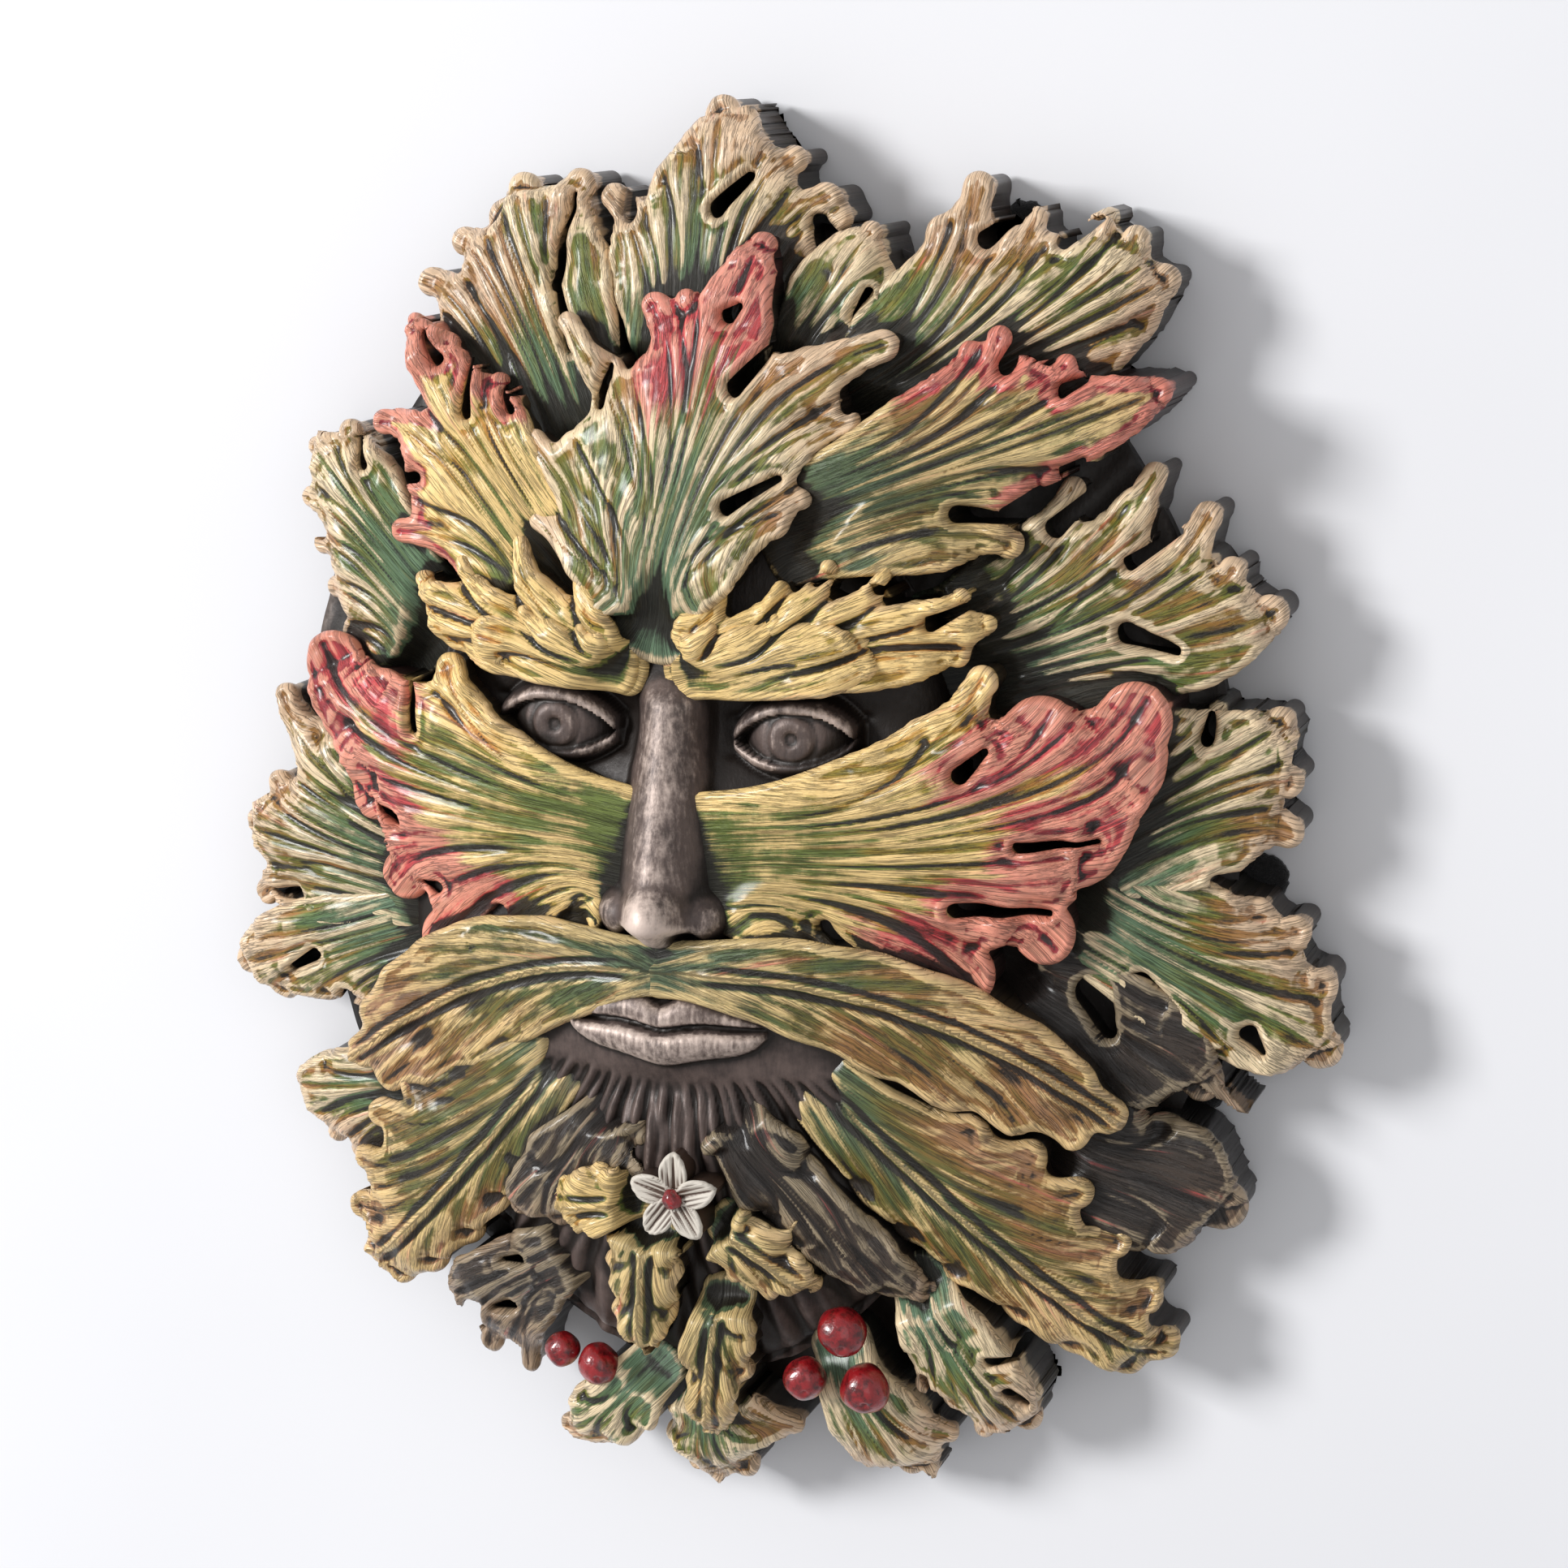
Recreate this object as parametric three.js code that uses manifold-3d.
// Green man wall mask: one cast relief of leaves round a face, with a thin felt sheet behind it.
// Millimetres. X runs to the viewer's right, Z up, and the relief stands out of the wall along -Y.
// The origin is on the wall, on the felt's back, level with the middle of the mask's height.

import * as THREE from "three";
import * as BufferGeometryUtils from "three/addons/utils/BufferGeometryUtils.js";
import Module from "manifold-3d";

const wasm = await Module();
wasm.setup();

// Driving sizes
const maskHeight = 280; // from the lowest leaf tip to the highest
const reliefDepth = 52; // from the wall to the tip of the nose
const feltThickness = 1.5;
const touchGap = 0.3; // between the felt and the casting

// The carving is laid out on a grid of 280 squares to the mask's height, and 52 levels to its depth.
// Places (x, z) and widths are in squares, and heights above the wall are in levels.
const gridHeight = 280;
const gridDepth = 52;
const square = maskHeight / gridHeight;
const level = reliefDepth / gridDepth;

// The casting's flat back, and a floor behind it to which the relief falls before it is trimmed flat
const castingBack = feltThickness + touchGap;
const floorLevel = -3;
const mergeDistance = 1e-5;
const trimClearance = 0.6; // no facet corner lies nearer than this to the trimming plane, in levels

// Backing slab: an oval dome that the leaves grow from
const slab = {
  x: 8,
  z: -2,
  halfWidth: 97,
  halfHeight: 117,
  rimLevel: 9,
  crownLevel: 24,
  roundness: 2.2,
  cliff: 30, // fall outside its edge, in levels a square
};

// The felt is an oval a little smaller than the slab, with tongues that reach out between the leaves
const felt = {
  cover: 0.94, // reach as a share of the slab's
  sides: 60,
  tongueHalfAngle: 3.2, // degrees
  tongueSteps: [-1, -0.5, 0, 0.5, 1],
  tongues: [[6, 133], [-26, 121], [61, 118], [113, 7], [113, -9], [101, -54], [91, -84]],
};

// Leaf shape: every leaf is a blade whose lobes leave its midrib one after another
const leafShape = {
  turn: 0.6, // how early a side lobe leaves the midrib
  straightStart: 0.22, // the least share of a lobe that follows the midrib
  tipSetback: 0.85, // from the tip back to the middle of its rounding, in half widths
  steps: 12, // straight steps along a lobe's middle line
  rootShare: 0.42, // half width at the base, as a share of the lobe's own
  bellyShare: 1.37,
  bellyPlace: 0.5,
  taperStart: 0.55,
  taperEnd: 0.95,
  taperShare: 0.42, // what the half width loses on the way to the tip
  edgeBlend: 0.9, // rounding of the notches between lobes
  ridgeBlend: 1.6,
  archLevels: 2.5, // rise of a lobe's back between base and tip
  bulge: 0.45, // fall from a lobe's middle to its edge, in half widths
  bulgePower: 2.2,
  bulgePlace: 0.7, // where that fall is complete, along the lobe
  rootBulge: 0.5,
  valleyDepth: 1.3,
  valleyWidth: 1.2,
  valleyReach: 2, // how far outside a lobe the valley beside it fades out
  rootValley: 0.3, // the valley's depth at the root, as a share of its full depth
  furthestOutside: 40, // limits of the distance used in the blends
  furthestInside: 12,
  rimRadius: 2, // rounding of a leaf's edge
  cliff: 16, // fall outside the edge, in levels a square
};

// Each leaf: its base and midrib end in squares (x, z), the base's level, and its lobes as
// tip x, tip z, half width and tip level
const leaves = {
  crownTop: {
    base: [1, 91], baseLevel: 25, rib: [6, 135],
    lobes: [[8, 136, 5.5, 19], [3, 131, 5.5, 21], [21, 127, 4.5, 20], [28, 120, 5, 19],
      [-7, 123, 4.5, 21], [-19, 120, 4.5, 20], [30, 116, 3.5, 20]],
  },
  crownLeft: {
    base: [-32, 84], baseLevel: 24, rib: [-42, 117],
    lobes: [[-22, 123, 5.5, 20], [-34, 122, 5, 20], [-43, 115, 4.5, 19], [-51, 110, 4.5, 19],
      [-58, 102, 4.5, 19], [-52, 95, 4.5, 21], [-42, 92, 3.5, 22]],
  },
  crownSmall: {
    base: [22, 89], baseLevel: 27, rib: [37, 113],
    lobes: [[38, 113, 4, 24], [40, 105, 3, 25], [30, 109, 3.5, 27], [32, 96, 2.5, 27]],
  },
  crownRight: {
    base: [42, 93], baseLevel: 25, rib: [90, 108],
    lobes: [[55, 124, 5, 20], [49, 116, 4.5, 22], [66, 118, 3.5, 20], [78, 117, 4, 20],
      [85, 115, 4, 19], [90, 108, 5, 18], [85, 100, 4.5, 18], [75, 96, 4, 22]],
  },
  crownRightShade: {
    base: [54, 89], baseLevel: 18, rib: [83, 89],
    lobes: [[83, 91, 5, 15], [74, 86, 5, 16]],
  },
  forehead: {
    base: [-3, 39], baseLevel: 41, rib: [17, 113],
    lobes: [[-29, 75, 3.5, 35], [-28, 59, 3, 37], [-23, 97, 3.5, 33], [-14, 88, 3, 35],
      [-5, 101, 4.5, 34], [2, 102, 2.5, 33], [16, 113, 4.5, 31], [17, 97, 3.5, 34], [44, 94, 5, 34],
      [37, 80, 5, 36], [28, 89, 3.5, 35], [24, 61, 4.5, 38], [28, 65, 2.5, 38]],
  },
  foreheadLeft: {
    base: [-31, 57], baseLevel: 34, rib: [-56, 96],
    lobes: [[-56, 96, 3, 28], [-47, 92, 2.5, 29], [-36, 85, 2.5, 31], [-64, 75, 4, 28],
      [-60, 54, 4, 29], [-52, 70, 3, 31], [-38, 80, 2, 32]],
  },
  foreheadRight: {
    base: [29, 64], baseLevel: 37, rib: [95, 87],
    lobes: [[94, 86, 4.5, 28], [63, 97, 3.5, 31], [57, 94, 3, 31], [75, 92, 3.5, 30],
      [83, 85, 2.5, 29], [73, 70, 3.5, 30], [64, 67, 2.5, 31], [67, 56, 4.5, 32], [56, 59, 3, 34]],
  },
  upperRight: {
    base: [67, 37], baseLevel: 23, rib: [113, 49],
    lobes: [[90, 72, 4, 21], [100, 65, 4.5, 20], [85, 65, 3, 23], [112, 48, 6, 18], [105, 55, 4, 20],
      [99, 38, 3.5, 20], [93, 31, 4.5, 19], [80, 54, 3.5, 24]],
  },
  sideRightTop: {
    base: [80, -6], baseLevel: 24, rib: [117, 26],
    lobes: [[101, 26, 4.5, 23], [116, 24, 5, 19], [118, 13, 4.5, 19], [118, 3, 5.5, 19],
      [93, 14, 3.5, 25]],
  },
  sideRightLow: {
    base: [80, -8], baseLevel: 24, rib: [127, -36],
    lobes: [[120, -13, 5, 18], [112, -10, 3.5, 20], [126, -35, 7, 18], [125, -23, 5, 18],
      [106, -39, 4, 20], [92, -20, 3, 25]],
  },
  sideRightShade: {
    base: [78, -23], baseLevel: 24, rib: [104, -45],
    lobes: [[104, -44, 7, 20], [95, -38, 5, 22], [74, -27, 3, 26], [80, -39, 3.5, 26],
      [89, -44, 4, 24]],
  },
  lowRight: {
    base: [84, -62], baseLevel: 20, rib: [109, -70],
    lobes: [[108, -67, 8, 17], [95, -54, 4.5, 19], [98, -72, 5.5, 17]],
  },
  cheekRight: {
    base: [8, 4], baseLevel: 35, rib: [91, 19],
    lobes: [[61, 33, 3.5, 36], [91, 30, 7, 32], [89, 20, 7, 32], [84, 9, 6, 33], [74, 27, 6.5, 36],
      [82, -2, 5, 32], [74, -15, 6, 32], [62, -23, 5.5, 33], [46, -22, 4.5, 35], [35, -14, 3.5, 36],
      [49, 23, 4.5, 35]],
  },
  cheekLeft: {
    base: [-10, 1], baseLevel: 35, rib: [-73, 23],
    lobes: [[-47, 30, 3, 34], [-76, 30, 7, 27], [-70, 19, 6.5, 28], [-66, 8, 6, 29], [-68, -2, 4, 28],
      [-61, -15, 5, 30], [-53, -21, 6, 31], [-38, -15, 4.5, 34], [-23, -14, 3.5, 35]],
  },
  browRightUpper: {
    base: [-2, 28], baseLevel: 40, rib: [66, 45],
    lobes: [[13, 53, 3, 39], [33, 54, 3, 39], [24, 50, 2.5, 40], [44, 54, 2.5, 38], [58, 50, 3, 37],
      [64, 43, 3.5, 35], [58, 35, 4.5, 34], [48, 40, 3.5, 37]],
  },
  browRightLower: {
    base: [0, 24], baseLevel: 39, rib: [44, 39],
    lobes: [[11, 42, 3, 42], [24, 44, 3.5, 42], [40, 41, 4.5, 41], [44, 35, 3.5, 39],
      [32, 38, 3.5, 42]],
  },
  browLeftUpper: {
    base: [-6, 26], baseLevel: 40, rib: [-53, 42],
    lobes: [[-43, 51, 3, 35], [-31, 56, 3.5, 37], [-19, 55, 2.5, 39], [-53, 47, 3.5, 33],
      [-52, 40, 4, 33], [-44, 30, 3.5, 34]],
  },
  browLeftLower: {
    base: [-10, 25], baseLevel: 39, rib: [-42, 39],
    lobes: [[-41, 38, 3.5, 38], [-28, 43, 3, 41], [-16, 40, 2.5, 42], [-34, 30, 3.5, 38]],
  },
  moustacheRightUpper: {
    base: [0, -28], baseLevel: 44, rib: [85, -53],
    lobes: [[85, -52, 6, 29], [80, -45, 6.5, 31], [60, -46, 5.5, 36], [67, -34, 5.5, 35]],
  },
  moustacheRightLower: {
    base: [7, -34], baseLevel: 43, rib: [94, -103],
    lobes: [[92, -102, 8, 20], [94, -90, 8, 21], [70, -95, 8, 27], [56, -79, 6.5, 32],
      [82, -74, 7.5, 27]],
  },
  moustacheLeftUpper: {
    base: [-2, -28], baseLevel: 44, rib: [-74, -60],
    lobes: [[-74, -59, 5.5, 22], [-65, -42, 6, 25], [-48, -45, 4.5, 30]],
  },
  moustacheLeftLower: {
    base: [-7, -35], baseLevel: 43, rib: [-67, -102],
    lobes: [[-67, -102, 6.5, 19], [-73, -90, 6, 20], [-52, -95, 6, 24], [-64, -71, 5.5, 24],
      [-37, -71, 5, 31]],
  },
  beardRight: {
    base: [10, -54], baseLevel: 38, rib: [37, -84],
    lobes: [[22, -76, 3.5, 34], [30, -82, 3.5, 33], [37, -85, 3.5, 32], [44, -89, 3.5, 30],
      [52, -89, 3.5, 28], [29, -65, 3.5, 35], [12, -63, 2.5, 38]],
  },
  beardLeft: {
    base: [-10, -56], baseLevel: 38, rib: [-34, -82],
    lobes: [[-34, -82, 3.5, 32], [-25, -83, 3.5, 33], [-16, -74, 3, 35], [-30, -71, 3.5, 34],
      [-5, -61, 2.5, 38]],
  },
  chinLeft: {
    base: [-7, -73], baseLevel: 41, rib: [-22, -75],
    lobes: [[-22, -72, 3.5, 39], [-21, -79, 3.5, 38], [-14, -67, 2.5, 40]],
  },
  chinLowLeft: {
    base: [-4, -80], baseLevel: 40, rib: [-7, -108],
    lobes: [[-7, -105, 4, 34], [-12, -88, 4, 37], [-11, -97, 4.5, 35], [1, -88, 3.5, 37],
      [-2, -98, 3.5, 35]],
  },
  chinRight: {
    base: [11, -77], baseLevel: 40, rib: [29, -88],
    lobes: [[28, -87, 3.5, 35], [23, -82, 3.5, 37], [14, -88, 3.5, 37], [19, -91, 3.5, 36],
      [17, -76, 2.5, 39]],
  },
  chinLow: {
    base: [10, -93], baseLevel: 36, rib: [7, -124],
    lobes: [[7, -121, 4.5, 29], [4, -109, 4, 31], [13, -108, 4, 31], [12, -100, 3.5, 33]],
  },
  lowLeft: {
    base: [-22, -88], baseLevel: 30, rib: [-56, -106],
    lobes: [[-54, -106, 4, 20], [-47, -117, 4, 19], [-38, -120, 3, 20], [-40, -91, 2.5, 26],
      [-45, -98, 2.5, 25], [-33, -100, 3.5, 26]],
  },
  fringeLeft: {
    base: [-7, -112], baseLevel: 30, rib: [-26, -134],
    lobes: [[-31, -130, 3.5, 19], [-21, -131, 3.5, 20], [-13, -128, 3, 21], [-25, -121, 3, 23]],
  },
  fringeMiddle: {
    base: [4, -118], baseLevel: 28, rib: [2, -134],
    lobes: [[-6, -128, 3, 21], [-4, -137, 3, 17], [10, -137, 4.5, 17], [21, -125, 3.5, 20],
      [2, -135, 3.5, 17]],
  },
  fringeRight: {
    base: [30, -104], baseLevel: 28, rib: [43, -132],
    lobes: [[33, -133, 3, 16], [40, -130, 3, 17], [45, -131, 4.5, 16], [53, -123, 3.5, 18]],
  },
  beardSideRight: {
    base: [47, -88], baseLevel: 31, rib: [67, -119],
    lobes: [[47, -112, 2.5, 23], [53, -115, 2.5, 22], [65, -108, 3.5, 20], [66, -120, 4.5, 17],
      [58, -122, 3, 18], [58, -101, 3.5, 24]],
  },
  upperLeft: {
    base: [-61, 35], baseLevel: 23, rib: [-84, 69],
    lobes: [[-72, 74, 4, 20], [-84, 68, 3.5, 18], [-85, 58, 3.5, 18], [-82, 49, 3.5, 19],
      [-80, 40, 3.5, 19], [-75, 32, 3.5, 20]],
  },
  sideLeftTop: {
    base: [-54, -22], baseLevel: 24, rib: [-100, -7],
    lobes: [[-90, 20, 4, 19], [-82, 12, 3.5, 21], [-99, -7, 5, 17], [-92, 2, 4, 19],
      [-98, -26, 4.5, 17], [-89, -16, 3.5, 20]],
  },
  sideLeftLow: {
    base: [-54, -24], baseLevel: 24, rib: [-103, -42],
    lobes: [[-102, -42, 5.5, 16], [-93, -46, 4.5, 17], [-82, -44, 3, 20], [-74, -45, 3, 21],
      [-91, -32, 3.5, 20]],
  },
  lowLeftSmall: {
    base: [-63, -67], baseLevel: 21, rib: [-93, -66],
    lobes: [[-91, -66, 3.5, 15], [-84, -77, 3.5, 15], [-78, -80, 3.5, 15], [-83, -61, 2.5, 17]],
  },
};

// The face is laid out by the usual thirds: brow to nose to chin, with the mouth a third below the nose
const browZ = 32;
const third = 52;
const noseZ = browZ - third;
const mouthZ = noseZ - third / 3;
const eyeZ = browZ - 0.26 * third;
const eyeSpacing = 48;
const head = { halfWidth: 60, halfHeight: 92, z: -20, rimLevel: 20, rise: 16 };
const socket = { depth: 6, halfWidth: 15, halfHeight: 10, raise: 1 };
const eye = {
  radius: 12.5,
  middleLevel: 22.5, // of the ball's middle
  halfWidth: 12,
  upperRise: 5.2,
  lowerDrop: 4,
  openingPower: 2.2,
  tilt: 0.6, // rise of the outer corner
  lidReach: 1.15, // the lids' half width, as a share of the opening's
  lidWidth: 3,
  lidLevel: 34.6,
  lidCrest: 0.4, // where a lid stands highest, as a share of its width
  lidRounding: 0.5,
  cornerDrop: 2.2,
};
const nose = {
  bridgeHalf: 5,
  footHalf: 8.5,
  bridgeLevel: 36,
  topDrop: 2,
  profilePower: 1.3,
  sideDrop: 2.5,
  sidePower: 2.4,
  flankStart: 1.6, // where the flank begins to fall away, in half widths
  flankEnd: 3,
  ballRadius: 8,
  wingRadius: 5.6,
  wingX: 8.5,
  wingRise: 4,
  wingLevel: 44,
};
const lips = {
  bowX: 8,
  upperHalfWidth: 16,
  upperHalf: 4.6,
  upperRise: 0.7, // the upper lip's middle above the mouth line, in its own half heights
  lowerHalfWidth: 20,
  lowerHalf: 5.6,
  lowerDrop: 0.8,
  level: 43,
  rim: 37.5,
};

// Blossom and berries: berries as x, z and the level of the ball's middle
const blossom = {
  x: 5,
  z: -69,
  level: 43,
  petals: 5,
  petalLength: 8.5,
  petalHalf: 3.4,
  petalRise: 1.6,
  heart: 2.3, // radius of its centre
};
const berryRadius = 4.2;
const berries = [[-23, -108, 27], [-15, -110, 27], [35, -99, 31], [27, -110, 29], [39, -111, 28]];

// Sampling of the relief into facets
const facets = {
  lobePlaces: [0.2, 0.35, 0.5, 0.62, 0.74, 0.86, 1], // cross sections along a lobe
  tipTurns: [-70, -25, 25, 70], // degrees round a tip
  edgeInset: 0.5,
  footOutset: 1.1,
  showTolerance: 0.1, // a leaf shows where it is the highest, give or take this
  outside: 0.5, // a foot lies at least this far outside its leaf
  nearest: 1.25, // no two facet corners are closer than this, save a corner and its foot
  fillStep: 7,
  fillNearest: 4.2,
  noseReach: 17,
  noseStep: 2.4,
  noseNearest: 1.9,
  eyeSteps: 8,
  lidPlaces: [-0.2, 0.4, 1.2], // across a lid, in lid widths
  lipSteps: 10,
  lipPlaces: [0, 0.7, 1.6, 2], // across a lip, in its half heights
  faceNearest: 0.7,
  berrySides: 8,
  petalSides: 6,
  border: 14,
  blockBack: 5, // the untrimmed block's back, in levels behind the wall
  farCorner: 5600,
  hair: 0.01,
  hairTurns: [12.9, 78.2], // spread the hairs' directions
};

const { clamp, lerp, smoothstep, degToRad, euclideanModulo } = THREE.MathUtils;

// The middle line of one lobe: it follows the midrib from the leaf's base and bends out to the tip
function lobeLine(leaf, [x, z, half, tipLevel]) {
  const base = new THREE.Vector2(...leaf.base);
  const tip = new THREE.Vector2(x, z);
  const rib = new THREE.Vector2(...leaf.rib).sub(base).normalize();
  const reach = tip.clone().sub(base);
  const along = reach.dot(rib);
  const across = Math.abs(reach.cross(rib));
  const follow = Math.max(along - leafShape.turn * across, leafShape.straightStart * reach.length());
  const control = base.clone().addScaledVector(rib, follow);
  const heading = tip.clone().sub(control).normalize();
  const end = tip.clone().addScaledVector(heading, -half * leafShape.tipSetback);
  const curve = new THREE.QuadraticBezierCurve(base, control, end);
  const points = curve.getPoints(leafShape.steps);
  return { curve, points, heading, end, half, tipLevel, baseLevel: leaf.baseLevel };
}

function lobeHalfWidth(line, t) {
  const opened = smoothstep(t, 0, leafShape.bellyPlace);
  const closed = smoothstep(t, leafShape.taperStart, leafShape.taperEnd);
  const share = lerp(leafShape.rootShare, leafShape.bellyShare, opened) - leafShape.taperShare * closed;
  return line.half * share;
}

// How far a place lies inside one lobe, where along it, and its share of the way to the lobe's edge
function placeInLobe(line, x, z) {
  let nearest = Infinity;
  let t = 0;
  for (let i = 0; i < leafShape.steps; i++) {
    const from = line.points[i];
    const to = line.points[i + 1];
    const stepX = to.x - from.x;
    const stepZ = to.y - from.y;
    const share = clamp(((x - from.x) * stepX + (z - from.y) * stepZ) / (stepX ** 2 + stepZ ** 2), 0, 1);
    const distance = Math.hypot(x - from.x - share * stepX, z - from.y - share * stepZ);
    if (distance < nearest) {
      nearest = distance;
      t = (i + share) / leafShape.steps;
    }
  }
  const width = lobeHalfWidth(line, t);
  return { inside: width - nearest, t, width, share: clamp(nearest / width, 0, 1) };
}

// One leaf's surface at a place: its height, and how far inside the leaf's edge the place is
function leafSurface(leafLines, x, z) {
  let edgeSum = 0;
  let ridgeSum = 0;
  let weights = 0;
  let best = { inside: -Infinity };
  let second = -Infinity;
  for (const line of leafLines) {
    const spot = placeInLobe(line, x, z);
    const inside = clamp(spot.inside, -leafShape.furthestOutside, leafShape.furthestInside);
    edgeSum += Math.exp(inside / leafShape.edgeBlend);
    const weight = Math.exp(inside / leafShape.ridgeBlend);
    weights += weight;
    const arch = leafShape.archLevels * Math.sin(Math.PI * spot.t);
    ridgeSum += weight * (lerp(line.baseLevel, line.tipLevel, spot.t) + arch);
    if (spot.inside > best.inside) {
      second = best.inside;
      best = spot;
    } else {
      second = Math.max(second, spot.inside);
    }
  }
  const edge = leafShape.edgeBlend * Math.log(edgeSum);
  const spread = smoothstep(best.t, 0, leafShape.bulgePlace);
  const lobeBulge = leafShape.bulge * best.width * spread * best.share ** leafShape.bulgePower;
  const rootBulge = leafShape.rootBulge * (1 - spread) * best.share;
  const between = Math.exp(-(((best.inside - second) / leafShape.valleyWidth) ** 2));
  const beside = smoothstep(second, -leafShape.valleyReach, 0);
  const valley = leafShape.valleyDepth * between * beside * lerp(leafShape.rootValley, 1, spread);
  const rim = clamp(1 - edge / leafShape.rimRadius, 0, 1);
  const rounding = leafShape.rimRadius * (1 - Math.sqrt(1 - rim ** 2));
  const cliff = Math.min(edge, 0) * leafShape.cliff;
  return { height: ridgeSum / weights - lobeBulge - rootBulge - valley - rounding + cliff, edge };
}

function slabHeight(x, z) {
  const radius = Math.hypot((x - slab.x) / slab.halfWidth, (z - slab.z) / slab.halfHeight);
  const dome = lerp(slab.rimLevel, slab.crownLevel, clamp(1 - radius ** slab.roundness, 0, 1));
  return dome - slab.cliff * Math.max(0, radius - 1) * slab.halfWidth;
}

// Height of a rounded cap over a place, or the floor outside it
function capHeight(x, z, centreX, centreZ, radius, topLevel) {
  const left = radius ** 2 - (x - centreX) ** 2 - (z - centreZ) ** 2;
  return left > 0 ? topLevel - radius + Math.sqrt(left) : floorLevel;
}

function headHeight(x, z) {
  const radius = Math.hypot(x / head.halfWidth, (z - head.z) / head.halfHeight);
  if (radius >= 1) {
    return floorLevel;
  }
  const dips = [-1, 1].map((side) => {
    const across = (x - (side * eyeSpacing) / 2) / socket.halfWidth;
    const up = (z - eyeZ - socket.raise) / socket.halfHeight;
    return socket.depth * Math.exp(-(across ** 2) - up ** 2);
  });
  return head.rimLevel + head.rise * Math.sqrt(1 - radius ** 2) - dips[0] - dips[1];
}

// The eye on one side: the ball between the lids, the lids round it, or the floor elsewhere
function eyeHeight(x, z, side) {
  const middle = (side * eyeSpacing) / 2;
  const share = ((x - middle) * side) / eye.halfWidth;
  if (Math.abs(share) > eye.lidReach) {
    return floorLevel;
  }
  const opening = 1 - Math.min(Math.abs(share), 1) ** eye.openingPower;
  const above = z - (eyeZ + eye.upperRise * opening + eye.tilt * share);
  const below = eyeZ - eye.lowerDrop * opening + eye.tilt * share - z;
  if (above < 0 && below < 0) {
    const left = eye.radius ** 2 - (x - middle) ** 2 - (z - eyeZ) ** 2;
    return eye.middleLevel + Math.sqrt(Math.max(0, left));
  }
  const band = Math.max(above, below);
  if (band > eye.lidWidth) {
    return floorLevel;
  }
  const offCrest = band - eye.lidCrest * eye.lidWidth;
  return eye.lidLevel - eye.cornerDrop * share ** 2 - eye.lidRounding * offCrest ** 2;
}

function noseHeight(x, z) {
  const top = browZ - nose.topDrop;
  const along = (top - z) / (top - noseZ);
  let height = floorLevel;
  if (along > 0 && along < 1) {
    const half = lerp(nose.bridgeHalf, nose.footHalf, along);
    const profile = lerp(nose.bridgeLevel, gridDepth - 1, along ** nose.profilePower);
    const flank = smoothstep(Math.abs(x), nose.flankStart * half, nose.flankEnd * half);
    height = profile - nose.sideDrop * Math.abs(x / half) ** nose.sidePower - nose.bridgeLevel * flank;
  }
  const tip = capHeight(x, z, 0, noseZ + nose.ballRadius / 2, nose.ballRadius, gridDepth);
  const wings = [-1, 1].map((side) => (
    capHeight(x, z, side * nose.wingX, noseZ + nose.wingRise, nose.wingRadius, nose.wingLevel)
  ));
  return Math.max(height, tip, ...wings);
}

function lipHeight(x, z) {
  const swell = (centreX, centreZ, halfWidth, half) => (
    clamp(1 - ((x - centreX) / halfWidth) ** 2 - ((z - centreZ) / half) ** 2, 0, 1)
  );
  const upperZ = mouthZ + lips.upperRise * lips.upperHalf;
  const lowerZ = mouthZ - lips.lowerDrop * lips.lowerHalf;
  const upper = [-1, 1].map((side) => swell(side * lips.bowX, upperZ, lips.upperHalfWidth, lips.upperHalf));
  const full = Math.max(...upper, swell(0, lowerZ, lips.lowerHalfWidth, lips.lowerHalf));
  return full > 0 ? lerp(lips.rim, lips.level, Math.sqrt(full)) : floorLevel;
}

function blossomHeight(x, z) {
  let height = capHeight(x, z, blossom.x, blossom.z, blossom.heart, blossom.level + blossom.heart / 2);
  for (let i = 0; i < blossom.petals; i++) {
    const turn = Math.PI / 2 + (i * 2 * Math.PI) / blossom.petals;
    const along = (x - blossom.x) * Math.cos(turn) + (z - blossom.z) * Math.sin(turn);
    const across = (z - blossom.z) * Math.cos(turn) - (x - blossom.x) * Math.sin(turn);
    const full = 1 - (2 * along / blossom.petalLength - 1) ** 2 - (across / blossom.petalHalf) ** 2;
    if (full > 0) {
      height = Math.max(height, blossom.level - blossom.petalRise + blossom.petalRise * Math.sqrt(full));
    }
  }
  return height;
}

const leafLines = Object.values(leaves).map((leaf) => leaf.lobes.map((lobe) => lobeLine(leaf, lobe)));

// The whole relief's height at a place
function reliefHeight(x, z) {
  const heights = [floorLevel, slabHeight(x, z), headHeight(x, z), eyeHeight(x, z, -1), eyeHeight(x, z, 1),
    noseHeight(x, z), lipHeight(x, z), blossomHeight(x, z)];
  const balls = berries.map(([berryX, berryZ, middle]) => (
    capHeight(x, z, berryX, berryZ, berryRadius, middle + berryRadius)
  ));
  const blades = leafLines.map((lines) => leafSurface(lines, x, z).height);
  return Math.max(...heights, ...balls, ...blades);
}

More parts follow.
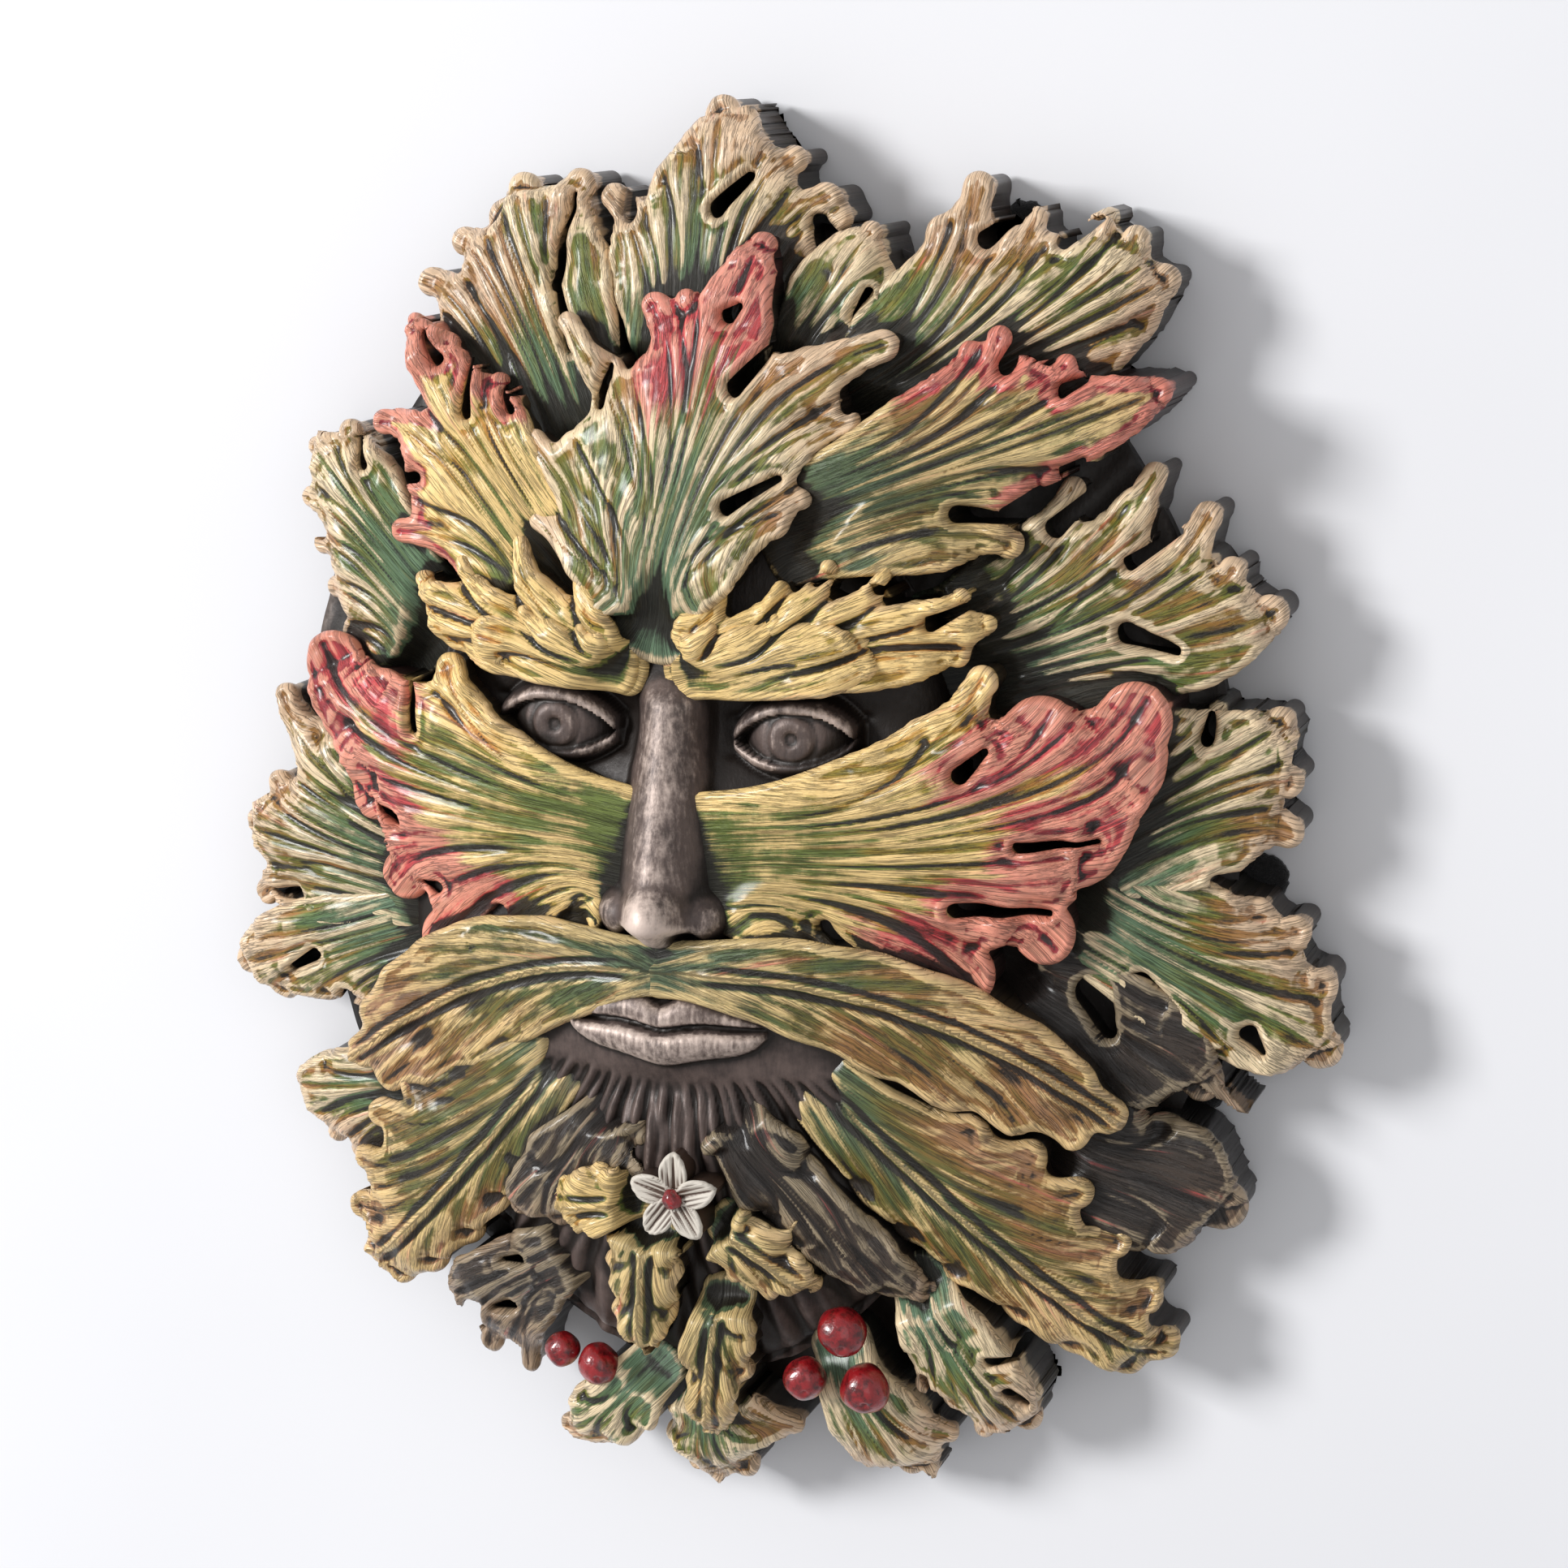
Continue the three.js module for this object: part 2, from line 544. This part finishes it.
// Facet corners, kept apart by a hash of small cells
class CornerSet {
  constructor() {
    this.corners = [];
    this.cells = new Map();
  }

  isFree(x, z, distance) {
    const cellX = Math.floor(x / facets.nearest);
    const cellZ = Math.floor(z / facets.nearest);
    const reach = Math.ceil(distance / facets.nearest);
    for (let i = cellX - reach; i <= cellX + reach; i++) {
      for (let k = cellZ - reach; k <= cellZ + reach; k++) {
        const near = this.cells.get(`${i},${k}`) ?? [];
        if (near.some(([otherX, otherZ]) => Math.hypot(otherX - x, otherZ - z) < distance)) {
          return false;
        }
      }
    }
    return true;
  }

  add(x, z, distance = facets.nearest) {
    if (this.isFree(x, z, distance)) {
      this.keep(x, z);
    }
  }

  // An edge corner and its foot, both or neither
  addPair(edge, foot, distance) {
    if (this.isFree(edge.x, edge.y, distance) && this.isFree(foot.x, foot.y, distance)) {
      this.keep(edge.x, edge.y);
      this.keep(foot.x, foot.y);
    }
  }

  keep(x, z) {
    const height = reliefHeight(x, z);
    const belowBack = height < castingBack / level;
    const limit = castingBack / level + (belowBack ? -trimClearance : trimClearance);
    const corner = [x, z, belowBack ? Math.min(height, limit) : Math.max(height, limit)];
    const cell = `${Math.floor(x / facets.nearest)},${Math.floor(z / facets.nearest)}`;
    this.cells.set(cell, [...(this.cells.get(cell) ?? []), corner]);
    this.corners.push(corner);
  }
}

// Corners on the rim of a round or oval feature: some inside its edge, and as many at its foot
function addRing(set, centreX, centreZ, radius, count) {
  for (let i = 0; i < count; i++) {
    const turn = (i * 2 * Math.PI) / count;
    for (const reach of [radius - facets.edgeInset / 2, radius + facets.edgeInset]) {
      set.add(centreX + reach * Math.cos(turn), centreZ + reach * Math.sin(turn), facets.edgeInset);
    }
  }
}

function shows(lines, spot) {
  return leafSurface(lines, spot.x, spot.y).height >= reliefHeight(spot.x, spot.y) - facets.showTolerance;
}

// Corners along one lobe: its ridge, and its edge and foot where they show
function addLobe(set, lines, line) {
  const spots = facets.lobePlaces.flatMap((t) => [-1, 1].map((side) => {
    const outward = line.curve.getTangent(t).rotateAround(new THREE.Vector2(), (side * Math.PI) / 2);
    return { from: line.curve.getPoint(t), outward, half: lobeHalfWidth(line, t) };
  }));
  const tips = facets.tipTurns.map((degrees) => {
    const outward = line.heading.clone().rotateAround(new THREE.Vector2(), degToRad(degrees));
    return { from: line.end, outward, half: lobeHalfWidth(line, 1) };
  });
  for (const { from, outward, half } of [...spots, ...tips]) {
    const top = from.clone().addScaledVector(outward, half - facets.edgeInset);
    const foot = from.clone().addScaledVector(outward, half + facets.footOutset);
    const isFoot = leafSurface(lines, foot.x, foot.y).edge < -facets.outside;
    if (isFoot && shows(lines, top)) {
      set.addPair(top, foot, facets.nearest);
    }
  }
  for (const t of facets.lobePlaces) {
    const spot = line.curve.getPoint(t);
    if (shows(lines, spot)) {
      set.add(spot.x, spot.y);
    }
  }
}

function addGrid(set, fromX, toX, fromZ, toZ, step, distance) {
  for (let x = fromX; x <= toX; x += step) {
    for (let z = fromZ; z <= toZ; z += step) {
      set.add(x, z, distance);
    }
  }
}

// Corners round one eye: the ball's edge, the crest and the outer side of each lid, and the ball itself
function addEye(set, side) {
  const middle = (side * eyeSpacing) / 2;
  for (let i = 0; i <= facets.eyeSteps; i++) {
    const share = lerp(-1, 1, i / facets.eyeSteps);
    const x = middle + side * share * eye.halfWidth;
    const opening = 1 - Math.abs(share) ** eye.openingPower;
    const line = eyeZ + eye.tilt * share;
    for (const reach of facets.lidPlaces) {
      set.add(x, line + eye.upperRise * opening + reach * eye.lidWidth, facets.faceNearest);
      set.add(x, line - eye.lowerDrop * opening - reach * eye.lidWidth, facets.faceNearest);
    }
  }
  set.add(middle, eyeZ, facets.faceNearest);
}

// Corners across the mouth: the line between the lips, their crests and their outer edges
function addLips(set) {
  for (let i = 0; i <= facets.lipSteps; i++) {
    const share = lerp(-1, 1, i / facets.lipSteps);
    const full = 1 - share ** 2;
    const x = share * lips.lowerHalfWidth;
    for (const reach of facets.lipPlaces) {
      set.add(x, mouthZ + reach * lips.upperHalf * full, facets.faceNearest);
      set.add(x, mouthZ - reach * lips.lowerHalf * full, facets.faceNearest);
    }
  }
}

function facetCorners() {
  const set = new CornerSet();
  const reachX = slab.halfWidth + 2 * facets.border;
  const reachZ = gridHeight / 2 + facets.border;
  for (const x of [slab.x - reachX, slab.x + reachX]) {
    for (const z of [-reachZ, reachZ]) {
      set.add(x, z);
    }
  }
  [-1, 1].forEach((side) => addEye(set, side));
  addLips(set);
  berries.forEach(([x, z]) => addRing(set, x, z, berryRadius, facets.berrySides));
  for (let i = 0; i < blossom.petals; i++) {
    const turn = Math.PI / 2 + (i * 2 * Math.PI) / blossom.petals;
    const x = blossom.x + (blossom.petalLength / 2) * Math.cos(turn);
    const z = blossom.z + (blossom.petalLength / 2) * Math.sin(turn);
    addRing(set, x, z, blossom.petalHalf, facets.petalSides);
  }
  leafLines.forEach((lines) => lines.forEach((line) => addLobe(set, lines, line)));
  addGrid(set, -facets.noseReach, facets.noseReach, noseZ, browZ, facets.noseStep, facets.noseNearest);
  addGrid(set, slab.x - reachX, slab.x + reachX, -reachZ, reachZ, facets.fillStep, facets.fillNearest);
  return set.corners;
}

// Delaunay triangles over the corners' places, found by adding them one at a time. Each place is moved
// by a hair while this is worked out, so that no four of them lie on one circle.
function delaunay(corners) {
  const far = facets.farCorner;
  const [turnX, turnZ] = facets.hairTurns;
  const hairAt = (i, turn) => facets.hair * Math.sin(turn * i);
  const moved = corners.map(([x, z], i) => [x + hairAt(i, turnX), z + hairAt(i, turnZ)]);
  const places = [...moved, [-far, -far], [far, -far], [0, far]];
  const count = corners.length;
  const withCircle = (a, b, c) => {
    const [[ax, az], [bx, bz], [cx, cz]] = [places[a], places[b], places[c]];
    const scale = 2 * (ax * (bz - cz) + bx * (cz - az) + cx * (az - bz));
    const [aa, bb, cc] = [ax ** 2 + az ** 2, bx ** 2 + bz ** 2, cx ** 2 + cz ** 2];
    const x = (aa * (bz - cz) + bb * (cz - az) + cc * (az - bz)) / scale;
    const z = (aa * (cx - bx) + bb * (ax - cx) + cc * (bx - ax)) / scale;
    return { a, b, c, x, z, radius: (ax - x) ** 2 + (az - z) ** 2 };
  };
  let triangles = [withCircle(count, count + 1, count + 2)];
  for (let i = 0; i < count; i++) {
    const [x, z] = places[i];
    const rim = new Map();
    const kept = [];
    for (const triangle of triangles) {
      if ((x - triangle.x) ** 2 + (z - triangle.z) ** 2 >= triangle.radius) {
        kept.push(triangle);
        continue;
      }
      const { a, b, c } = triangle;
      for (const [from, to] of [[a, b], [b, c], [c, a]]) {
        if (!rim.delete(`${to},${from}`)) {
          rim.set(`${from},${to}`, [from, to]);
        }
      }
    }
    for (const [from, to] of rim.values()) {
      kept.push(withCircle(from, to, i));
    }
    triangles = kept;
  }
  return triangles.filter(({ a, b, c }) => Math.max(a, b, c) < count).map(({ a, b, c }) => [a, b, c]);
}

// Turns a closed geometry into a solid
function solid(geometry) {
  const bare = new THREE.BufferGeometry();
  bare.setAttribute("position", geometry.getAttribute("position"));
  bare.setIndex(geometry.getIndex());
  const merged = BufferGeometryUtils.mergeVertices(bare, mergeDistance);
  const vertProperties = new Float32Array(merged.getAttribute("position").array);
  const triVerts = new Uint32Array(merged.getIndex().array);
  return new wasm.Manifold(new wasm.Mesh({ numProp: 3, vertProperties, triVerts }));
}

function geometryOf(body) {
  const mesh = body.getMesh();
  const geometry = new THREE.BufferGeometry();
  geometry.setAttribute("position", new THREE.BufferAttribute(mesh.vertProperties, 3));
  geometry.setIndex(new THREE.BufferAttribute(mesh.triVerts, 1));
  return geometry;
}

// The relief as a closed block: the facets in front, a flat face well behind, and walls round the border
function reliefBlock() {
  const corners = facetCorners();
  const front = delaunay(corners);
  const count = corners.length;
  const behind = facets.blockBack * level;
  const positions = corners.flatMap(([x, z, height]) => [x * square, -height * level, z * square]);
  corners.forEach(([x, z]) => positions.push(x * square, behind, z * square));
  const index = [];
  const border = new Map();
  for (const [a, b, c] of front) {
    index.push(a, b, c, a + count, c + count, b + count);
    for (const [from, to] of [[a, b], [b, c], [c, a]]) {
      if (!border.delete(`${to},${from}`)) {
        border.set(`${from},${to}`, [from, to]);
      }
    }
  }
  for (const [from, to] of border.values()) {
    index.push(to, from, to + count, from, from + count, to + count);
  }
  const geometry = new THREE.BufferGeometry();
  geometry.setAttribute("position", new THREE.Float32BufferAttribute(positions, 3));
  geometry.setIndex(index);
  return solid(geometry);
}

function castingGeometry() {
  const behind = new THREE.BoxGeometry(2 * maskHeight, 2 * maskHeight, 2 * maskHeight);
  behind.translate(0, maskHeight - castingBack, 0);
  return geometryOf(reliefBlock().subtract(solid(behind)));
}

// The felt's outline round the slab's middle: each tongue swells the oval out to its place
function feltOutline() {
  const half = degToRad(felt.tongueHalfAngle);
  const tongues = felt.tongues.map(([x, z]) => {
    const place = new THREE.Vector2((x - slab.x) / slab.halfWidth, (z - slab.z) / slab.halfHeight);
    return { angle: place.angle(), reach: place.length() };
  });
  const regular = Array.from({ length: felt.sides }, (_, i) => (i * 2 * Math.PI) / felt.sides);
  const extra = tongues.flatMap(({ angle }) => felt.tongueSteps.map((share) => angle + share * half));
  const turns = [...regular, ...extra].map((turn) => euclideanModulo(turn, 2 * Math.PI));
  turns.sort((a, b) => a - b);
  return turns.map((turn) => {
    const swells = tongues.map(({ angle, reach }) => {
      const apart = Math.abs(euclideanModulo(turn - angle + Math.PI, 2 * Math.PI) - Math.PI);
      return (reach - felt.cover) * clamp(1 - (apart / half) ** 2, 0, 1);
    });
    const radius = felt.cover + Math.max(...swells);
    const place = new THREE.Vector2(slab.halfWidth * Math.cos(turn), slab.halfHeight * Math.sin(turn));
    return place.multiplyScalar(radius * square);
  });
}

function feltGeometry() {
  const outline = new THREE.Shape(feltOutline());
  const sheet = new THREE.ExtrudeGeometry(outline, { depth: feltThickness, bevelEnabled: false });
  sheet.rotateX(Math.PI / 2);
  sheet.translate(slab.x * square, 0, slab.z * square);
  return geometryOf(solid(sheet));
}

const castingMaterial = new THREE.MeshStandardMaterial({ color: 0x7d7448, roughness: 0.62, metalness: 0 });
const feltMaterial = new THREE.MeshStandardMaterial({ color: 0x121212, roughness: 1, metalness: 0 });

const group = new THREE.Group();
const casting = new THREE.Mesh(castingGeometry(), castingMaterial);
casting.name = "mask_casting";
group.add(casting);

const feltSheet = new THREE.Mesh(feltGeometry(), feltMaterial);
feltSheet.name = "felt_backing";
group.add(feltSheet);

export default group;
